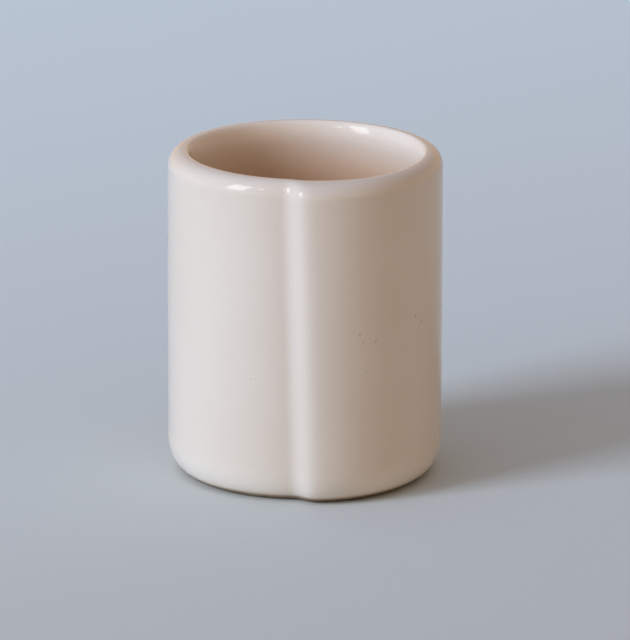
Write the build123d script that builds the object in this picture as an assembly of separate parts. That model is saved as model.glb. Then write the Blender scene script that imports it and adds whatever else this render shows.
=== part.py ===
from build123d import *

import os
from bisect import bisect_right
from math import cos, radians, sin

# Shaving mug: a handleless, hand-built pottery cup.
# A rolled clay slab is wrapped round a base disc and its outer end laps over its
# inner end, which leaves one soft vertical step down the front. The joints are
# luted with slip, a coil backs the base joint, and two glaze coats cover the clay.
# Frame: millimetres, +Z up, origin under the middle of the cup on its foot plane.
# The front, with the lap, faces -Y. Angles run from -Y towards +X.

# ---------------------------------------------------------------- driving sizes
HEIGHT = 95.4  # foot plane to glazed rim
GLAZE = 0.5  # glaze thickness on the walls
FOOT_LINE = 1.6  # the glaze is wiped off below this height
BASE_RISE = 10.2  # height over which the base edge turns under
BASE_IN = 7.4  # how far it turns in
RIM_OUT = 4.8  # height over which the outside of the rim rolls over
RIM_IN = 7.0  # the same on the inside of the rim
CROWN_OUT = 0.635  # where the outer roll ends, as a share of the wall thickness
CROWN_IN = 0.675  # where the inner roll starts
CROWN_MEET = 0.655  # where the two glaze coats meet on the rim
BASE_TOP = 6.0  # top of the base disc, bare clay
FLOOR_ROUND = 8.2  # radius in the glazed inside corner
COIL = 5.0  # leg of the coil in the inside corner
SLIP = 0.4  # thickness of each slip joint
STEP = 3.7  # how far the lapped end stands proud of the other
STEP_AT_FOOT = 0.82  # share of the step left at the foot
LEAN = 4.0  # degrees that the seam leans over the height, top to the left

# Outside of the glazed wall without the lap step, as (degrees, radius).
OUTER = [
    (-180, 38.95),
    (-150, 39.85),
    (-120, 40.25),
    (-95, 40.05),
    (-70, 39.50),
    (-48, 38.95),
    (-28, 38.30),
    (-12, 37.75),
    (5, 37.60),
    (22, 37.62),
    (40, 37.88),
    (60, 38.42),
    (80, 39.15),
    (104, 39.80),
    (130, 39.70),
    (155, 39.25),
]
# Inside of the glazed wall, as (degrees, radius). It has a softer step of its own.
INNER = [
    (-180, 32.20),
    (-155, 32.35),
    (-130, 32.50),
    (-105, 32.50),
    (-82, 32.20),
    (-60, 31.70),
    (-40, 31.35),
    (-22, 31.40),
    (-8, 31.65),
    (4, 32.15),
    (13, 32.75),
    (21, 33.40),
    (30, 33.80),
    (44, 33.60),
    (62, 33.00),
    (88, 32.40),
    (115, 32.30),
    (148, 32.25),
]
# The lap step, as (degrees, share): it rises steeply from crease to crest, then
# sinks back into the wall over the next quarter turn.
LAP = [
    (-19.0, 0.0),
    (-15.0, -0.014),
    (-12.0, -0.036),
    (-10.0, -0.054),
    (-8.8, -0.058),
    (-7.6, -0.040),
    (-6.4, 0.010),
    (-5.2, 0.100),
    (-4.1, 0.220),
    (-3.0, 0.370),
    (-1.9, 0.530),
    (-0.8, 0.672),
    (0.5, 0.798),
    (2.0, 0.892),
    (4.0, 0.957),
    (6.5, 0.990),
    (10.0, 1.0),
    (22.0, 0.930),
    (38.0, 0.720),
    (56.0, 0.420),
    (76.0, 0.140),
    (96.0, 0.0),
]
# The scarf between the two lapped ends, outside to inside, as (degrees, radius).
SCARF = [(-14.0, 40.0), (-8.6, 37.1), (-1.0, 35.9), (8.0, 35.3), (17.0, 34.6), (24.0, 32.6)]

# Angles at which each contour is set out, closest where the lap turns fastest.
STATIONS = (
    [-180, -168, -156, -144, -132, -120, -108, -96, -84, -72, -60, -50, -41, -33]
    + [-26.5, -21, -17, -14, -11.5, -9.5, -8, -6.6, -5.3, -4, -2.7, -1.4, 0, 1.5]
    + [3.2, 5.2, 7.5, 10.5, 14, 18, 23, 29, 36, 44, 53, 63, 73, 84, 96, 108, 120]
    + [132, 144, 156, 168]
)


# --------------------------------------------------------------------- contours
def hermite(x0, y0, m0, x1, y1, m1, x):
    h = x1 - x0
    t = (x - x0) / h
    return (
        y0 * (1 + 2 * t) * (1 - t) ** 2
        + m0 * h * t * (1 - t) ** 2
        + y1 * t * t * (3 - 2 * t)
        - m1 * h * t * t * (1 - t)
    )


def ring(table, angle):
    """Smooth closed curve through (degrees, radius) pairs that start at -180."""
    n = len(table)
    k = bisect_right([p[0] for p in table], angle) - 1

    def node(i):
        turn, j = divmod(i, n)
        return table[j][0] + 360.0 * turn, table[j][1]

    (x0, y0), (x1, y1), (x2, y2), (x3, y3) = (node(k + j) for j in (-1, 0, 1, 2))
    return hermite(x1, y1, (y2 - y0) / (x2 - x0), x2, y2, (y3 - y1) / (x3 - x1), angle)


def lap(angle):
    """Share of the step at an angle, with no overshoot at crease or crest."""
    if angle <= LAP[0][0] or angle >= LAP[-1][0]:
        return 0.0
    k = bisect_right([p[0] for p in LAP], angle) - 1

    def slope(i):
        if i <= 0 or i >= len(LAP) - 1:
            return 0.0
        a = (LAP[i][1] - LAP[i - 1][1]) / (LAP[i][0] - LAP[i - 1][0])
        b = (LAP[i + 1][1] - LAP[i][1]) / (LAP[i + 1][0] - LAP[i][0])
        return 0.0 if a * b <= 0 else 2 * a * b / (a + b)

    return hermite(*LAP[k], slope(k), *LAP[k + 1], slope(k + 1), angle)


def outside(angle, share=1.0):
    return ring(OUTER, angle) + STEP * share * lap(angle)


def inside(angle):
    return ring(INNER, angle)


def thickness(angle):
    return outside(angle) - inside(angle)


# Half the difference of the extremes, so that the finished cup is centred.
def middle():
    lows, highs = [1e9, 1e9], [-1e9, -1e9]
    for tilt in (-LEAN / 2, 0.0, LEAN / 2):
        for tenth in range(-1800, 1800):
            a = tenth / 10
            r = outside(a)
            p = (r * sin(radians(a + tilt)), -r * cos(radians(a + tilt)))
            for i in (0, 1):
                lows[i], highs[i] = min(lows[i], p[i]), max(highs[i], p[i])
    return (lows[0] + highs[0]) / 2, (lows[1] + highs[1]) / 2


MID_X, MID_Y = middle()


def lean(z):
    """Turn of the whole contour at a height, in degrees."""
    return -LEAN * (z / HEIGHT - 0.5)


def place(angle, radius, z):
    a = radians(angle + lean(z))
    return (radius * sin(a) - MID_X, -radius * cos(a) - MID_Y, z)


# Every contour of a body shares one parameter set, so its surface stays light.
# start picks the station where the surface's seam line runs: bodies that cross
# each other have their seam lines in different places.
def contour(radius_at, z, start=0):
    angles = STATIONS[start:] + [a + 360.0 for a in STATIONS[:start]]
    points = [place(a, radius_at((a + 180.0) % 360.0 - 180.0), z) for a in angles]
    parameters = [(a - angles[0]) / 360.0 for a in angles] + [1.0]
    return Wire([Edge.make_spline(points, periodic=True, parameters=parameters)])


def body(levels, start=0, ruled=False):
    """Solid lofted through (radius function, z) levels, bottom to top."""
    return Solid.make_loft([contour(f, z, start) for f, z in levels], ruled=ruled)


def slab(z0, z1):
    """A plain block that keeps only what lies between two heights."""
    return Pos(0, 0, (z0 + z1) / 2) * Box(200, 200, z1 - z0)


def one(shape):
    solids = shape.solids()
    assert len(solids) == 1, len(solids)
    return solids[0]


# --------------------------------------------------------------- profile levels
ARC = [90, 78, 66, 54, 42, 30, 18, 8, 0]
MID = [16.0, 28.0, 44.0, 60.0, 74.0, 83.0]


def arc_levels(make, angles):
    return [make(radians(a)) for a in angles]


def foot_share(drop):
    """The step softens as the base edge turns under; drop runs from 0 to 1."""
    return 1.0 - (1.0 - STEP_AT_FOOT) * drop


def glazed_foot(f):
    drop = 1 - cos(f)
    return (lambda a: outside(a, foot_share(drop)) - BASE_IN * drop, BASE_RISE * (1 - sin(f)))


def clay_foot(f):
    drop = 1 - cos(f)
    return (
        lambda a: outside(a, foot_share(drop)) - GLAZE - (BASE_IN - GLAZE) * drop,
        BASE_RISE * (1 - sin(f)),
    )


def glazed_rim(f):
    return (
        lambda a: outside(a) - CROWN_OUT * thickness(a) * (1 - cos(f)),
        HEIGHT - RIM_OUT + RIM_OUT * sin(f),
    )


def clay_rim(f):
    return (
        lambda a: outside(a) - GLAZE - (CROWN_OUT * thickness(a) - GLAZE) * (1 - cos(f)),
        HEIGHT - RIM_OUT + (RIM_OUT - GLAZE) * sin(f),
    )


def glazed_lip(f):
    return (
        lambda a: inside(a) + (1 - CROWN_IN) * thickness(a) * (1 - cos(f)),
        HEIGHT - RIM_IN + RIM_IN * sin(f),
    )


def clay_lip(f):
    return (
        lambda a: inside(a) + GLAZE + ((1 - CROWN_IN) * thickness(a) - GLAZE) * (1 - cos(f)),
        HEIGHT - RIM_IN + (RIM_IN - GLAZE) * sin(f),
    )


FLOOR = BASE_TOP + GLAZE


def glazed_corner(f):
    drop = 1 - cos(f)
    return (lambda a: inside(a) - FLOOR_ROUND * drop, FLOOR + FLOOR_ROUND * (1 - sin(f)))


wall_out = [(lambda a: outside(a), z) for z in MID]
wall_out_clay = [(lambda a: outside(a) - GLAZE, z) for z in MID]
wall_in = [(lambda a: inside(a), z) for z in [25.0, 43.0, 61.0, 79.0]]
wall_in_clay = [(lambda a: inside(a) + GLAZE, z) for z in [-1.0, 16.0, 34.0, 52.0, 70.0]]
RISING = list(reversed(ARC))

# Solid outlines: the glazed and the bare outside, the glazed and the bare hollow.
glazed_outside = body(
    arc_levels(glazed_foot, [66, 54, 42, 30, 18, 8, 0]) + wall_out + arc_levels(glazed_rim, RISING)
)
clay_outside = body(arc_levels(clay_foot, ARC) + wall_out_clay + arc_levels(clay_rim, RISING))
LIP = [0, 15, 30, 45, 60, 75, 90]
glazed_hollow = body(
    arc_levels(glazed_corner, ARC) + wall_in + arc_levels(glazed_lip, LIP), start=7, ruled=True
)
clay_hollow = body(
    wall_in_clay + arc_levels(clay_lip, [0, 14, 28, 42, 56, 68, 79, 90]), start=4, ruled=True
)
crown = body(
    [(lambda a: outside(a) - CROWN_MEET * thickness(a), z) for z in (HEIGHT - 2, HEIGHT + 1)],
    start=-5,
    ruled=True,
)


# ------------------------------------------------------------------- clay pieces
def scarf_section(z):
    """Outline of the slip between the lapped ends at one height."""
    line = Edge.make_spline([place(a, r, z) for a, r in SCARF])
    left, right = [], []
    for i in range(9):
        p, t = line @ (i / 8), line % (i / 8)
        side = Vector(-t.Y, t.X, 0).normalized() * (SLIP / 2)
        left.append(p + side)
        right.append(p - side)
    return Wire(
        [
            Edge.make_spline(left),
            Edge.make_line(left[-1], right[-1]),
            Edge.make_spline(list(reversed(right))),
            Edge.make_line(right[0], left[0]),
        ]
    )


scarf = Solid.make_loft([scarf_section(-1.0), scarf_section(HEIGHT + 1.0)], ruled=True)
clay_ring = one(clay_outside - clay_hollow)
wall_slab = one(clay_ring - scarf)
lap_seam_slip = one(clay_ring & scarf)

disc_edge = [(lambda a: inside(a) + GLAZE - SLIP, z) for z in (-3.0, BASE_TOP + 1.0)]
disc_tool = body(disc_edge, start=-9, ruled=True)
base_room = one((clay_hollow & slab(-2.0, BASE_TOP)) & clay_outside)
base_slab = one(base_room & disc_tool)
base_joint_slip = one(base_room - disc_tool)

room = one(clay_hollow & slab(BASE_TOP, HEIGHT + 1))
coil_face = body(
    [
        (lambda a: inside(a) + GLAZE - COIL - 1.0, BASE_TOP - 1.0),
        (lambda a: inside(a) + GLAZE + 1.0, BASE_TOP + COIL + 1.0),
    ],
    start=-7,
    ruled=True,
)
coil_room = one(room & slab(BASE_TOP - 1, BASE_TOP + COIL + 0.6))
base_corner_coil = one(coil_room - coil_face)

# ------------------------------------------------------------------- glaze coats
rim_disc = one(crown & slab(HEIGHT - GLAZE, HEIGHT))
exterior_glaze = one((glazed_outside & slab(FOOT_LINE, HEIGHT + 1)) - clay_outside - crown)
interior_glaze = one((room + rim_disc) - base_corner_coil - glazed_hollow)

PARTS = {
    "wall_slab": (wall_slab, (0.80, 0.66, 0.52)),
    "base_slab": (base_slab, (0.72, 0.58, 0.46)),
    "lap_seam_slip": (lap_seam_slip, (0.62, 0.40, 0.30)),
    "base_joint_slip": (base_joint_slip, (0.62, 0.40, 0.30)),
    "base_corner_coil": (base_corner_coil, (0.70, 0.50, 0.36)),
    "exterior_glaze": (exterior_glaze, (0.93, 0.88, 0.80)),
    "interior_glaze": (interior_glaze, (0.90, 0.84, 0.75)),
}

os.makedirs("parts", exist_ok=True)
for name, (shape, colour) in PARTS.items():
    shape.label = name
    shape.color = Color(*colour)
    export_step(shape, f"parts/{name}.step")
    box = shape.bounding_box()
    print(name, "volume", round(shape.volume, 1), "low", box.min, "high", box.max)
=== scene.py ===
from math import cos, pi, radians, sin, tan

import bpy
import numpy as np
from mathutils import Matrix, Vector, noise


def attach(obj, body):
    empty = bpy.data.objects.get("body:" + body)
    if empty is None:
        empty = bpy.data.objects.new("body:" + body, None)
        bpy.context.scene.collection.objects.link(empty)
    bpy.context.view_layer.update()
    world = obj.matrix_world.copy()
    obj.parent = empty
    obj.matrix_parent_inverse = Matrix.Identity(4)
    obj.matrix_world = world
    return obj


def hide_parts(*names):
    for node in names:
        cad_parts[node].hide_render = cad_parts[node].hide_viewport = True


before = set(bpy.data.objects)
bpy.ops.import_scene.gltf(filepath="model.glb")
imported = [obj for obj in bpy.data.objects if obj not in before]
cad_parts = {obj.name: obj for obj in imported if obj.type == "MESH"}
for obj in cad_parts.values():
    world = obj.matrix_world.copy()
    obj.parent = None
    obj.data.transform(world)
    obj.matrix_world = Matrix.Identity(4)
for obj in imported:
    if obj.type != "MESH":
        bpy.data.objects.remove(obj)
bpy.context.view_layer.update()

MM = 0.001

# ------------------------------------------------------------------ cup geometry
# The same driving sizes and contours as the CAD model, in millimetres. Angles run
# from the front (-Y) towards +X.
HEIGHT = 95.4
GLAZE = 0.5
FOOT_LINE = 1.6
BASE_RISE = 10.2
BASE_IN = 7.4
RIM_OUT = 4.8
RIM_IN = 7.0
CROWN_OUT = 0.635
CROWN_IN = 0.675
CROWN_MEET = 0.655
BASE_TOP = 6.0
FLOOR = BASE_TOP + GLAZE
FLOOR_ROUND = 8.2
STEP = 3.7
STEP_AT_FOOT = 0.82
LEAN = 4.0
OUTER = [(-180, 38.95), (-150, 39.85), (-120, 40.25), (-95, 40.05), (-70, 39.50), (-48, 38.95),
         (-28, 38.30), (-12, 37.75), (5, 37.60), (22, 37.62), (40, 37.88), (60, 38.42),
         (80, 39.15), (104, 39.80), (130, 39.70), (155, 39.25)]
INNER = [(-180, 32.20), (-155, 32.35), (-130, 32.50), (-105, 32.50), (-82, 32.20), (-60, 31.70),
         (-40, 31.35), (-22, 31.40), (-8, 31.65), (4, 32.15), (13, 32.75), (21, 33.40),
         (30, 33.80), (44, 33.60), (62, 33.00), (88, 32.40), (115, 32.30), (148, 32.25)]
LAP = [(-19.0, 0.0), (-15.0, -0.014), (-12.0, -0.036), (-10.0, -0.054), (-8.8, -0.058),
       (-7.6, -0.040), (-6.4, 0.010), (-5.2, 0.100), (-4.1, 0.220), (-3.0, 0.370),
       (-1.9, 0.530), (-0.8, 0.672), (0.5, 0.798), (2.0, 0.892), (4.0, 0.957), (6.5, 0.990),
       (10.0, 1.0), (22.0, 0.930), (38.0, 0.720), (56.0, 0.420), (76.0, 0.140), (96.0, 0.0)]


def hermite(x0, y0, m0, x1, y1, m1, x):
    h = x1 - x0
    t = (x - x0) / h
    return (y0 * (1 + 2 * t) * (1 - t) ** 2 + m0 * h * t * (1 - t) ** 2
            + y1 * t * t * (3 - 2 * t) - m1 * h * t * t * (1 - t))


def ring(table, angle):
    n = len(table)
    angle = (angle + 180.0) % 360.0 - 180.0
    k = max(i for i in range(n) if table[i][0] <= angle)

    def node(i):
        turn, j = divmod(i, n)
        return table[j][0] + 360.0 * turn, table[j][1]

    (x0, y0), (x1, y1), (x2, y2), (x3, y3) = (node(k + j) for j in (-1, 0, 1, 2))
    return hermite(x1, y1, (y2 - y0) / (x2 - x0), x2, y2, (y3 - y1) / (x3 - x1), angle)


def lap(angle):
    if angle <= LAP[0][0] or angle >= LAP[-1][0]:
        return 0.0
    k = max(i for i in range(len(LAP)) if LAP[i][0] <= angle)

    def slope(i):
        if i <= 0 or i >= len(LAP) - 1:
            return 0.0
        a = (LAP[i][1] - LAP[i - 1][1]) / (LAP[i][0] - LAP[i - 1][0])
        b = (LAP[i + 1][1] - LAP[i][1]) / (LAP[i + 1][0] - LAP[i][0])
        return 0.0 if a * b <= 0 else 2 * a * b / (a + b)

    return hermite(*LAP[k], slope(k), *LAP[k + 1], slope(k + 1), angle)


def middle():
    lows, highs = [1e9, 1e9], [-1e9, -1e9]
    for tilt in (-LEAN / 2, 0.0, LEAN / 2):
        for tenth in range(-1800, 1800):
            a = tenth / 10
            r = ring(OUTER, a) + STEP * lap(a)
            p = (r * sin(radians(a + tilt)), -r * cos(radians(a + tilt)))
            for i in (0, 1):
                lows[i], highs[i] = min(lows[i], p[i]), max(highs[i], p[i])
    return (lows[0] + highs[0]) / 2, (lows[1] + highs[1]) / 2


MID_X, MID_Y = middle()

# Columns round the cup, closer together over the lap.
ANGLES = np.array(sorted(set(
    [round(a, 3) for a in np.arange(-180, -20, 1.0)]
    + [round(a, 3) for a in np.arange(-20, 22, 0.4)]
    + [round(a, 3) for a in np.arange(22, 180, 1.0)])))
BASE_R = np.array([ring(OUTER, a) for a in ANGLES])
LAP_R = STEP * np.array([lap(a) for a in ANGLES])
IN_R = np.array([ring(INNER, a) for a in ANGLES])
OUT_R = BASE_R + LAP_R
THICK = OUT_R - IN_R


def lean(z):
    return -LEAN * (z / HEIGHT - 0.5)


def wobble(p, n_scale, seed):
    """Smooth hand-made unevenness at a point, -1 to 1."""
    q = Vector((p[0] * n_scale + seed, p[1] * n_scale - seed, p[2] * n_scale * 0.6 + 3.1 * seed))
    return noise.noise(q) + 0.4 * noise.noise(q * 2.3)


def loop(radius, z, sink=0.0):
    """One ring of points, in millimetres, at a height; sink is how far the hand-made
    unevenness may press the surface in."""
    a = np.radians(ANGLES + lean(z))
    r = np.asarray(radius, float)
    if sink:
        x, y = r * np.sin(a), -r * np.cos(a)
        w = np.array([wobble((x[i], y[i], z), 1 / 26.0, 4.7) for i in range(len(a))])
        r = r - sink * (0.5 - 0.5 * np.clip(w, -1, 1))
    return np.stack([r * np.sin(a) - MID_X, -r * np.cos(a) - MID_Y, np.full(len(a), z)], axis=1)


def steps(n):
    return [radians(90.0 * i / n) for i in range(n + 1)]


def skin(name, loops, sharp_rings):
    """Closed skin through a run of rings that comes back to its first ring. Rings whose
    outline turns a real corner are marked sharp."""
    n = len(ANGLES)
    verts = np.concatenate(loops) * MM
    m = len(loops)
    i = np.arange(m)[:, None]
    j = np.arange(n)[None, :]
    a = i * n + j
    b = i * n + (j + 1) % n
    c = ((i + 1) % m) * n + (j + 1) % n
    d = ((i + 1) % m) * n + j
    faces = np.stack([a, b, c, d], axis=-1).reshape(-1, 4)
    me = bpy.data.meshes.new(name)
    me.from_pydata(verts.tolist(), [], faces.tolist())
    me.validate()
    me.polygons.foreach_set("use_smooth", [True] * len(me.polygons))
    sharp = me.attributes.new("sharp_edge", "BOOLEAN", "EDGE")
    ev = np.zeros(len(me.edges) * 2, int)
    me.edges.foreach_get("vertices", ev)
    ev = ev.reshape(-1, 2)
    same = (ev[:, 0] // n) == (ev[:, 1] // n)
    flags = same & np.isin(ev[:, 0] // n, list(sharp_rings))
    sharp.data.foreach_set("value", flags.tolist())
    me.update()
    ob = bpy.data.objects.new(name, me)
    bpy.context.scene.collection.objects.link(ob)
    return ob


def exterior():
    loops = []
    # Rounded foot of the glaze, from the glaze line up, then wall and rim.
    edge = [f for f in np.radians(np.linspace(90, 0, 31)) if BASE_RISE * (1 - sin(f)) >= FOOT_LINE]
    for f in edge:
        drop = 1 - cos(f)
        share = 1 - (1 - STEP_AT_FOOT) * drop
        z = BASE_RISE * (1 - sin(f))
        roll = 0.0
        if z < FOOT_LINE + 0.5:  # the glaze ends in a small roll
            roll = 0.14 * (1 - (z - FOOT_LINE) / 0.5) ** 2
        loops.append(loop(BASE_R + share * LAP_R - BASE_IN * drop - roll, z, 0.16 * sin(max(0.0, 1 - drop) * pi / 2)))
    for z in np.arange(BASE_RISE + 1.4, HEIGHT - RIM_OUT - 0.6, 1.4):
        loops.append(loop(OUT_R, z, 0.16))
    for f in steps(22):
        sink = 0.16 * cos(f)
        loops.append(loop(OUT_R - CROWN_OUT * THICK * (1 - cos(f)), HEIGHT - RIM_OUT + RIM_OUT * sin(f), sink))
    top = len(loops)
    loops.append(loop(OUT_R - CROWN_MEET * THICK, HEIGHT))
    # Hidden side, against the clay.
    loops.append(loop(OUT_R - CROWN_MEET * THICK, HEIGHT - GLAZE * 0.95))
    for f in reversed(steps(10)):
        loops.append(loop(OUT_R - GLAZE - (CROWN_OUT * THICK - GLAZE) * (1 - cos(f)),
                          HEIGHT - RIM_OUT + (RIM_OUT - GLAZE) * sin(f)))
    for z in np.arange(HEIGHT - RIM_OUT - 4, BASE_RISE + 1, -6.0):
        loops.append(loop(OUT_R - GLAZE, z))
    low = [f for f in np.radians(np.linspace(0, 90, 21)) if BASE_RISE * (1 - sin(f)) >= FOOT_LINE]
    for f in low:
        drop = 1 - cos(f)
        share = 1 - (1 - STEP_AT_FOOT) * drop
        loops.append(loop(BASE_R + share * LAP_R - GLAZE - (BASE_IN - GLAZE) * drop,
                          BASE_RISE * (1 - sin(f))))
    last = len(loops) - 1
    return skin("exterior_glaze_skin", loops, [0, top, top + 1, last])


def interior():
    loops = []
    centre = np.zeros(len(ANGLES))
    # Visible side: from the middle of the floor out, up the wall and over the lip.
    for share in (0.0005, 0.08, 0.2, 0.35, 0.5, 0.65, 0.8, 0.9, 0.96):
        loops.append(loop((IN_R - FLOOR_ROUND) * share + centre, FLOOR + 0.25 * (1 - share) ** 2))
    for f in reversed(steps(18)):
        drop = 1 - cos(f)
        loops.append(loop(IN_R - FLOOR_ROUND * drop, FLOOR + FLOOR_ROUND * (1 - sin(f)), -0.14 * (1 - drop)))
    for z in np.arange(FLOOR + FLOOR_ROUND + 1.4, HEIGHT - RIM_IN - 0.6, 1.4):
        loops.append(loop(IN_R, z, -0.14))
    for f in steps(24):
        loops.append(loop(IN_R + (1 - CROWN_IN) * THICK * (1 - cos(f)), HEIGHT - RIM_IN + RIM_IN * sin(f), -0.14 * cos(f)))
    top = len(loops)
    loops.append(loop(OUT_R - CROWN_MEET * THICK, HEIGHT))
    # Hidden side, against the clay.
    loops.append(loop(OUT_R - CROWN_MEET * THICK, HEIGHT - GLAZE * 0.95))
    for f in reversed(steps(12)):
        loops.append(loop(IN_R + GLAZE + ((1 - CROWN_IN) * THICK - GLAZE) * (1 - cos(f)),
                          HEIGHT - RIM_IN + (RIM_IN - GLAZE) * sin(f)))
    for z in np.arange(HEIGHT - RIM_IN - 4, BASE_TOP + 6.5, -6.0):
        loops.append(loop(IN_R + GLAZE, z))
    loops.append(loop(IN_R + GLAZE, BASE_TOP + 5.0))
    loops.append(loop(IN_R + GLAZE - 5.0, BASE_TOP + 0.02))
    for share in (0.6, 0.2, 0.0005):
        loops.append(loop((IN_R + GLAZE - 5.0) * share, BASE_TOP + 0.02))
    last = len(loops) - 1
    return skin("interior_glaze_skin", loops, [0, top, top + 1, last])


ext = exterior()
inn = interior()
for ob, node, slot in ((ext, "exterior_glaze", "exterior_glaze"), (inn, "interior_glaze", "interior_glaze")):
    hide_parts(node)
    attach(ob, "root")


# ------------------------------------------------------------------- materials
IVORY = (0.785, 0.675, 0.55)
WARM = (0.765, 0.65, 0.52)
LINER = (0.875, 0.765, 0.625)
LINER_WARM = (0.86, 0.74, 0.595)
# Painted shade: the darker, warmer tone the liner takes deeper inside the cup.
DEEP_SHADE_TONE = (0.80, 0.59, 0.385)
IRON = (0.10, 0.055, 0.03)
# Iron specks in the glaze, as (degrees, height mm, radius mm, strength).
SPECKS = [(22.3, 50.8, 0.50, 0.24), (23.7, 48.6, 0.42, 0.18), (29.5, 48.3, 0.46, 0.26),
          (24.6, 39.9, 0.40, 0.16), (52.4, 52.8, 0.56, 0.28), (56.9, 50.4, 0.48, 0.24)]
PINHOLES = [(-24.4, 36.6, 0.42)]


def on_wall(angle, z):
    """A point on the outside of the wall, in metres."""
    r = ring(OUTER, angle) + STEP * lap(angle)
    a = radians(angle + lean(z))
    return ((r * sin(a) - MID_X) * MM, (-r * cos(a) - MID_Y) * MM, z * MM)


class Graph:
    """Short hand for building one material's nodes."""

    def __init__(self, name):
        self.mat = bpy.data.materials.new(name)
        self.mat.use_nodes = True
        self.nt = self.mat.node_tree
        self.bsdf = self.nt.nodes["Principled BSDF"]
        self.co = self.nt.nodes.new("ShaderNodeTexCoord").outputs["Object"]

    def link(self, a, b):
        self.nt.links.new(a, b)

    def noise(self, scale, detail=2.0, rough=0.5, stretch=None, seed=0.0):
        n = self.nt.nodes.new("ShaderNodeTexNoise")
        n.inputs["Scale"].default_value = scale
        n.inputs["Detail"].default_value = detail
        n.inputs["Roughness"].default_value = rough
        m = self.nt.nodes.new("ShaderNodeMapping")
        m.inputs["Location"].default_value = (seed, seed * 0.7, -seed)
        if stretch:
            m.inputs["Scale"].default_value = stretch
        self.link(self.co, m.inputs["Vector"])
        self.link(m.outputs["Vector"], n.inputs["Vector"])
        return n.outputs["Fac"]

    def ramp(self, value, a, b, lo=0.0, hi=1.0, smooth=True):
        n = self.nt.nodes.new("ShaderNodeMapRange")
        n.interpolation_type = "SMOOTHSTEP" if smooth else "LINEAR"
        n.inputs["From Min"].default_value = a
        n.inputs["From Max"].default_value = b
        n.inputs["To Min"].default_value = lo
        n.inputs["To Max"].default_value = hi
        self.link(value, n.inputs["Value"])
        return n.outputs["Result"]

    def mix(self, fac, a, b, mode="MIX"):
        n = self.nt.nodes.new("ShaderNodeMix")
        n.data_type = "RGBA"
        n.blend_type = mode
        for key, v in (("Factor", fac), ("A", a), ("B", b)):
            if isinstance(v, tuple):
                n.inputs[key].default_value = (*v, 1)
            elif isinstance(v, float):
                n.inputs[key].default_value = v
            else:
                self.link(v, n.inputs[key])
        return n.outputs["Result"]

    def math(self, op, a, b=None):
        n = self.nt.nodes.new("ShaderNodeMath")
        n.operation = op
        for i, v in enumerate((a, b)):
            if v is None:
                continue
            if isinstance(v, (int, float)):
                n.inputs[i].default_value = v
            else:
                self.link(v, n.inputs[i])
        return n.outputs["Value"]

    def height(self):
        n = self.nt.nodes.new("ShaderNodeSeparateXYZ")
        self.link(self.co, n.inputs["Vector"])
        return n.outputs["Z"]

    def dot(self, at, inner, outer):
        """1 inside a round spot, falling to 0 at its outer radius."""
        n = self.nt.nodes.new("ShaderNodeVectorMath")
        n.operation = "DISTANCE"
        self.link(self.co, n.inputs[0])
        n.inputs[1].default_value = at
        return self.ramp(n.outputs["Value"], inner, outer, 1.0, 0.0)

    def spots(self, scale, radius, keep, seed):
        """Small round spots in a few of the cells of a lattice of cells."""
        m = self.nt.nodes.new("ShaderNodeMapping")
        m.inputs["Location"].default_value = (seed, -seed, seed * 1.3)
        self.link(self.co, m.inputs["Vector"])
        v = self.nt.nodes.new("ShaderNodeTexVoronoi")
        v.inputs["Scale"].default_value = scale
        self.link(m.outputs["Vector"], v.inputs["Vector"])
        near = self.ramp(v.outputs["Distance"], radius * 0.5, radius, 1.0, 0.0)
        c = self.nt.nodes.new("ShaderNodeSeparateColor")
        self.link(v.outputs["Color"], c.inputs["Color"])
        few = self.ramp(c.outputs["Red"], 1.0 - keep, 1.0 - keep * 0.6, 0.0, 1.0)
        return self.math("MULTIPLY", near, few)

    def bump(self, height, strength, distance, under=None):
        n = self.nt.nodes.new("ShaderNodeBump")
        n.inputs["Strength"].default_value = strength
        n.inputs["Distance"].default_value = distance
        self.link(height, n.inputs["Height"])
        if under is not None:
            self.link(under, n.inputs["Normal"])
        return n.outputs["Normal"]


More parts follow.
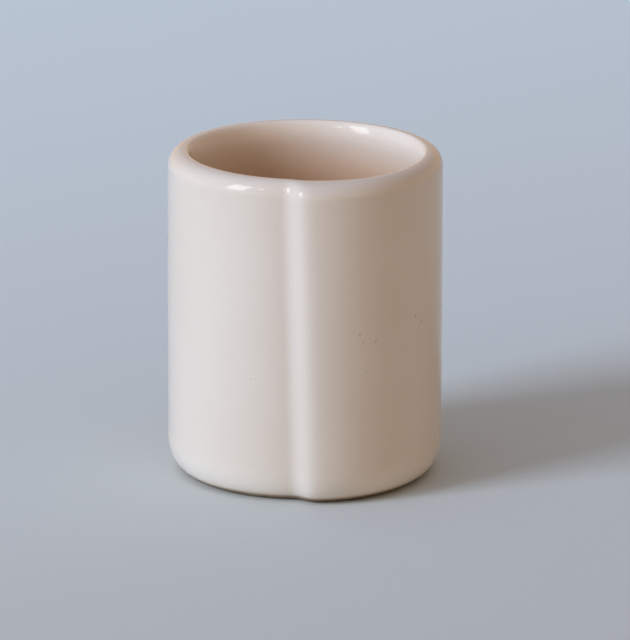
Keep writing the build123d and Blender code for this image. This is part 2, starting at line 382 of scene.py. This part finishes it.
def glaze(name, base, warm, deep_shade_heights=None):
    """Gloss ivory glaze over fired clay: slow drift of tone, fine mottle, iron specks,
    pinholes and a faint orange peel. Inside, a darker, warmer tone deeper in the cup is painted shade;
    outside, a whiter band round the base is painted light."""
    g = Graph(name)
    drift = g.ramp(g.noise(20.0, 2.0, 0.45), 0.25, 0.75)
    colour = g.mix(drift, base, warm)
    mottle = g.ramp(g.noise(260.0, 4.0, 0.6, seed=3.1), 0.25, 0.75, 0.0, 0.10, smooth=False)
    colour = g.mix(mottle, colour, (0.93, 0.90, 0.87), "MULTIPLY")
    z = g.height()
    if deep_shade_heights is not None:
        # Painted shade: the liner turns darker and warmer deeper inside the cup, where the inside is in shade.
        deep_shade = g.ramp(z, deep_shade_heights[0], deep_shade_heights[1], 1.0, 0.0)
        colour = g.mix(deep_shade, colour, DEEP_SHADE_TONE)
    else:
        # Painted light: the glaze is made whiter round the base, standing in for light thrown up from the floor,
        # with a thin warmer edge just above the line where it is wiped off.
        colour = g.mix(g.ramp(z, 0.0020, 0.0120, 0.60, 0.0), colour, (0.87, 0.78, 0.67))
        colour = g.mix(g.ramp(z, 0.0016, 0.0032, 0.40, 0.0), colour, (0.66, 0.52, 0.39))
    # Very faint specks scattered through the whole glaze.
    faint = g.spots(210.0, 0.05, 0.05, 2.3)
    colour = g.mix(g.math("MULTIPLY", faint, 0.28), colour, (0.36, 0.25, 0.17))
    height = g.noise(300.0, 2.0, 0.5, seed=1.7)
    normal = g.bump(height, 0.10, 0.0002)
    broad = g.noise(55.0, 2.0, 0.45, seed=5.2)
    normal = g.bump(broad, 0.10, 0.0008, normal)
    if deep_shade_heights is None:
        for angle, zz, radius, strength in SPECKS:
            spot = g.dot(on_wall(angle, zz), radius * MM * 0.1, radius * MM * 1.3)
            colour = g.mix(g.math("MULTIPLY", spot, strength), colour, IRON)
        for angle, zz, radius in PINHOLES:
            pit = g.dot(on_wall(angle, zz), radius * MM * 0.2, radius * MM)
            colour = g.mix(g.math("MULTIPLY", pit, 0.35), colour, (0.84, 0.76, 0.66))
            normal = g.bump(g.math("MULTIPLY", pit, -1.0), 0.6, 0.0002, normal)
    pins = g.spots(120.0, 0.035, 0.06, 7.9)
    normal = g.bump(g.math("MULTIPLY", pins, -1.0), 0.35, 0.00015, normal)
    g.link(colour, g.bsdf.inputs["Base Color"])
    g.link(normal, g.bsdf.inputs["Normal"])
    g.link(g.ramp(g.noise(90.0, 4.0, 0.6, seed=9.4), 0.3, 0.7, 0.07, 0.12), g.bsdf.inputs["Roughness"])
    g.bsdf.inputs["IOR"].default_value = 1.5
    return g.mat


def clay(name, base, dark):
    """Matt fired clay with a fine tooth and a few coarser grains of grog."""
    g = Graph(name)
    tone = g.ramp(g.noise(120.0, 4.0, 0.6), 0.3, 0.7)
    colour = g.mix(tone, base, dark)
    grog = g.spots(900.0, 0.30, 0.25, 4.4)
    colour = g.mix(g.math("MULTIPLY", grog, 0.5), colour, (0.80, 0.70, 0.58))
    fine = g.noise(2600.0, 3.0, 0.6, seed=2.0)
    normal = g.bump(fine, 0.35, 0.00012)
    normal = g.bump(grog, 0.4, 0.0001, normal)
    g.link(colour, g.bsdf.inputs["Base Color"])
    g.link(normal, g.bsdf.inputs["Normal"])
    g.link(g.ramp(tone, 0.0, 1.0, 0.78, 0.92), g.bsdf.inputs["Roughness"])
    g.bsdf.inputs["Specular IOR Level"].default_value = 0.35
    return g.mat


mat_ext = glaze("ivory_gloss_glaze", IVORY, WARM)
# The liner carries painted shade below 93.5 mm, in full from 73 mm down.
mat_in = glaze("ivory_liner_glaze", LINER, LINER_WARM, deep_shade_heights=(0.073, 0.0935))
mat_clay = clay("bare_fired_clay", (0.52, 0.41, 0.30), (0.42, 0.31, 0.21))
mat_slip = clay("fired_slip", (0.46, 0.34, 0.24), (0.38, 0.27, 0.18))
ext.data.materials.append(mat_ext)
inn.data.materials.append(mat_in)
for name, mat in (("wall_slab", mat_clay), ("base_slab", mat_clay), ("base_corner_coil", mat_clay),
                  ("lap_seam_slip", mat_slip), ("base_joint_slip", mat_slip)):
    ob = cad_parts[name]
    ob.data.materials.clear()
    ob.data.materials.append(mat)


# ------------------------------------------------------------------------ stage
def floor_material():
    """Pale matt board, with painted light: it is a little cooler and lighter away from the front, standing in for the
    back of the set catching more light.
    """
    g = Graph("studio_floor")
    n = g.nt.nodes.new("ShaderNodeSeparateXYZ")
    g.link(g.co, n.inputs["Vector"])
    back = g.ramp(n.outputs["Y"], -0.40, 0.60, 0.0, 1.0, smooth=False)
    g.link(g.mix(back, FLOOR_FRONT_DIM, FLOOR_BACK_LIT), g.bsdf.inputs["Base Color"])
    g.bsdf.inputs["Roughness"].default_value = 0.9
    g.bsdf.inputs["Specular IOR Level"].default_value = 0.2
    return g.mat


FLOOR_TONE = (0.785, 0.81, 0.755)
# Painted light on the floor: lighter and cooler towards the back, where more light falls.
FLOOR_LIGHT_SLOPE = (0.030, 0.041, 0.051)  # change per 100 mm towards the back
FLOOR_FRONT_DIM = tuple(c * (1 + k * (-4.0 - 1.68)) for c, k in zip(FLOOR_TONE, FLOOR_LIGHT_SLOPE))
FLOOR_BACK_LIT = tuple(c * (1 + k * (6.0 - 1.68)) for c, k in zip(FLOOR_TONE, FLOOR_LIGHT_SLOPE))
me = bpy.data.meshes.new("floor")
s = 6.0
me.from_pydata([(-s, -s, 0), (s, -s, 0), (s, s, 0), (-s, s, 0)], [], [(0, 1, 2, 3)])
floor = bpy.data.objects.new("floor", me)
bpy.context.scene.collection.objects.link(floor)
me.materials.append(floor_material())

# ----------------------------------------------------------------------- lights
GLINT = (0.62, 0.63, 0.60)
KEY_HIGH = (0.68, 0.86, 1.36)
KEY_LOW = (0.31, 0.71, 1.21)
SIDE = (0.05, 0.05, 0.05)
HORIZON = (0.885, 0.66, 0.45)
ZENITH = (0.29, 0.375, 0.545)
CONTRAST = 1.35

sc = bpy.context.scene
sc.view_settings.view_transform = "Standard"
sc.view_settings.look = "None"
sc.view_settings.gamma = 1 / CONTRAST
world = bpy.data.worlds.new("studio")
sc.world = world
world.use_nodes = True
wn = world.node_tree
w_dir = wn.nodes.new("ShaderNodeTexCoord")
w_xyz = wn.nodes.new("ShaderNodeSeparateXYZ")
w_up = wn.nodes.new("ShaderNodeMapRange")
w_mix = wn.nodes.new("ShaderNodeMix")
w_mix.data_type = "RGBA"
w_mix.inputs["A"].default_value = (*HORIZON, 1)
w_mix.inputs["B"].default_value = (*ZENITH, 1)
wn.links.new(w_dir.outputs["Generated"], w_xyz.inputs["Vector"])
wn.links.new(w_xyz.outputs["Z"], w_up.inputs["Value"])
wn.links.new(w_up.outputs["Result"], w_mix.inputs["Factor"])
wn.links.new(w_mix.outputs["Result"], wn.nodes["Background"].inputs["Color"])


def window(name, azimuth, elevation, across, high, power, colour, gloss=True):
    """A rectangular soft light that faces the cup from 3.2 m. Azimuth runs from the front
    towards +X; across and high are the angles it fills, in degrees. power is the light
    it sends to the cup, in W/m2."""
    a, e = radians(azimuth), radians(elevation)
    d = Vector((sin(a) * cos(e), -cos(a) * cos(e), sin(e)))
    far = 3.2
    li = bpy.data.lights.new(name, "AREA")
    li.shape = "RECTANGLE"
    li.size, li.size_y = 2 * far * tan(radians(across / 2)), 2 * far * tan(radians(high / 2))
    li.energy = power * pi * far * far
    li.color = colour
    ob = bpy.data.objects.new(name, li)
    sc.collection.objects.link(ob)
    ob.location = Vector((0, 0, 0.05)) + d * far
    ob.rotation_mode = "QUATERNION"
    ob.rotation_quaternion = (-d).to_track_quat("-Z", "Y")
    ob.visible_glossy = gloss
    return ob


# The window's light reaches from high on the left down to the sill; only part of it is
# sharp enough to show in the glaze.
window("key_window", -58, 27, 17, 30, 1.0, GLINT)
window("key_light", -58, 30, 19, 24, 1.0, KEY_HIGH, gloss=False)
window("low_light", -58, 9, 24, 14, 1.0, KEY_LOW, gloss=False)
window("side_window", -35, 32, 5, 9, 1.0, SIDE)

# ----------------------------------------------------------------------- camera
PX = 0.2891 * MM  # metres per pixel at the cup
D_PX = 8000.0
ELEV = 0.2755
cam_data = bpy.data.cameras.new("camera")
cam = bpy.data.objects.new("camera", cam_data)
sc.collection.objects.link(cam)
cam_data.sensor_width = 36.0
cam_data.lens = D_PX / 640.0 * 36.0
cam_data.clip_start, cam_data.clip_end = 0.05, 20.0
back = Vector((0, -cos(ELEV), sin(ELEV)))
right = Vector((1, 0, 0))
up = Vector((0, sin(ELEV), cos(ELEV)))
target = Vector((-MID_X * MM, -MID_Y * MM, HEIGHT * MM - 0.0475))
cam.location = target + back * (D_PX * PX) + right * (9.3 * PX) - up * (11.35 * PX)
roll = 0.0024
rot = Matrix((right, up, back)).transposed().to_4x4() @ Matrix.Rotation(roll, 4, "Z")
cam.rotation_mode = "QUATERNION"
cam.rotation_quaternion = rot.to_quaternion()
sc.camera = cam
